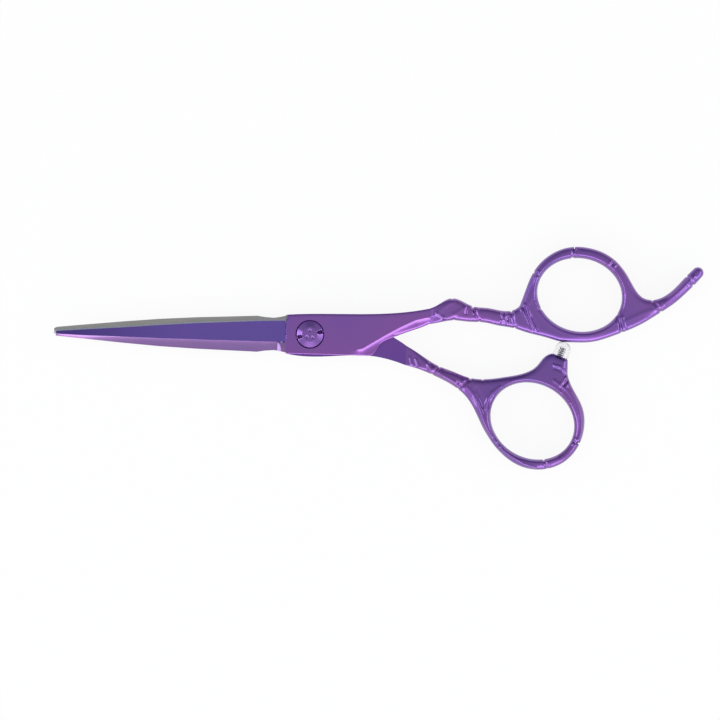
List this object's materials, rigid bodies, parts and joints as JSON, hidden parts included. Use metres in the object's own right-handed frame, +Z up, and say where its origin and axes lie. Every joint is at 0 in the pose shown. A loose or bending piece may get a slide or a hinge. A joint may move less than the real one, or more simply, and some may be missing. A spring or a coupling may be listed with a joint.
{
  "type": "hairdressing scissors",
  "caption": "Slim straight-bladed hairdressing scissors with offset finger rings, a finger rest, a stop bumper and a slotted tension screw.",
  "frame": {"origin": "pivot axis at the underside of the rear pivot plate, the plane the scissors lie on", "axes": "+X from the pivot towards the handles (blades point to -X), +Y towards the finger ring, +Z up out of the plane the scissors lie on, along the pivot"},
  "size_m": [0.1718, 0.0592, 0.0056],
  "materials": {
    "coated_blade": "glossy violet vapour-deposited coat over polished steel, bare steel on the inside faces and the honed edge",
    "coated_handle": "glossy violet vapour-deposited coat over a cast handle",
    "screw": "glossy violet coat",
    "spring_steel": "bare spring steel",
    "steel_stud": "bare threaded steel",
    "brass_bush": "turned",
    "washer_polymer": "natural acetal",
    "clear_bumper": "clear soft plastic"
  },
  "bodies": {
    "front_member": {"front_blade": "coated_blade", "front_handle": "coated_handle", "glide_washer": "washer_polymer"},
    "rear_member": {"rear_blade": "coated_blade", "rear_handle": "coated_handle", "thread_bush": "brass_bush", "bumper": "clear_bumper", "bumper_stud": "steel_stud"},
    "tension_screw": {"pivot_screw": "screw", "spring_washer": "spring_steel"}
  },
  "joints": [
    {"name": "pivot", "type": "hinge", "parent": "front_member", "child": "rear_member", "pos_m": [0, 0, 0], "axis": [0, 0, -1], "range_deg": [0, 140]},
    {"name": "tension_turn", "type": "hinge", "parent": "rear_member", "child": "tension_screw", "pos_m": [0, 0, 0], "axis": [0, 0, -1], "range_deg": [-90, 90]}
  ]
}
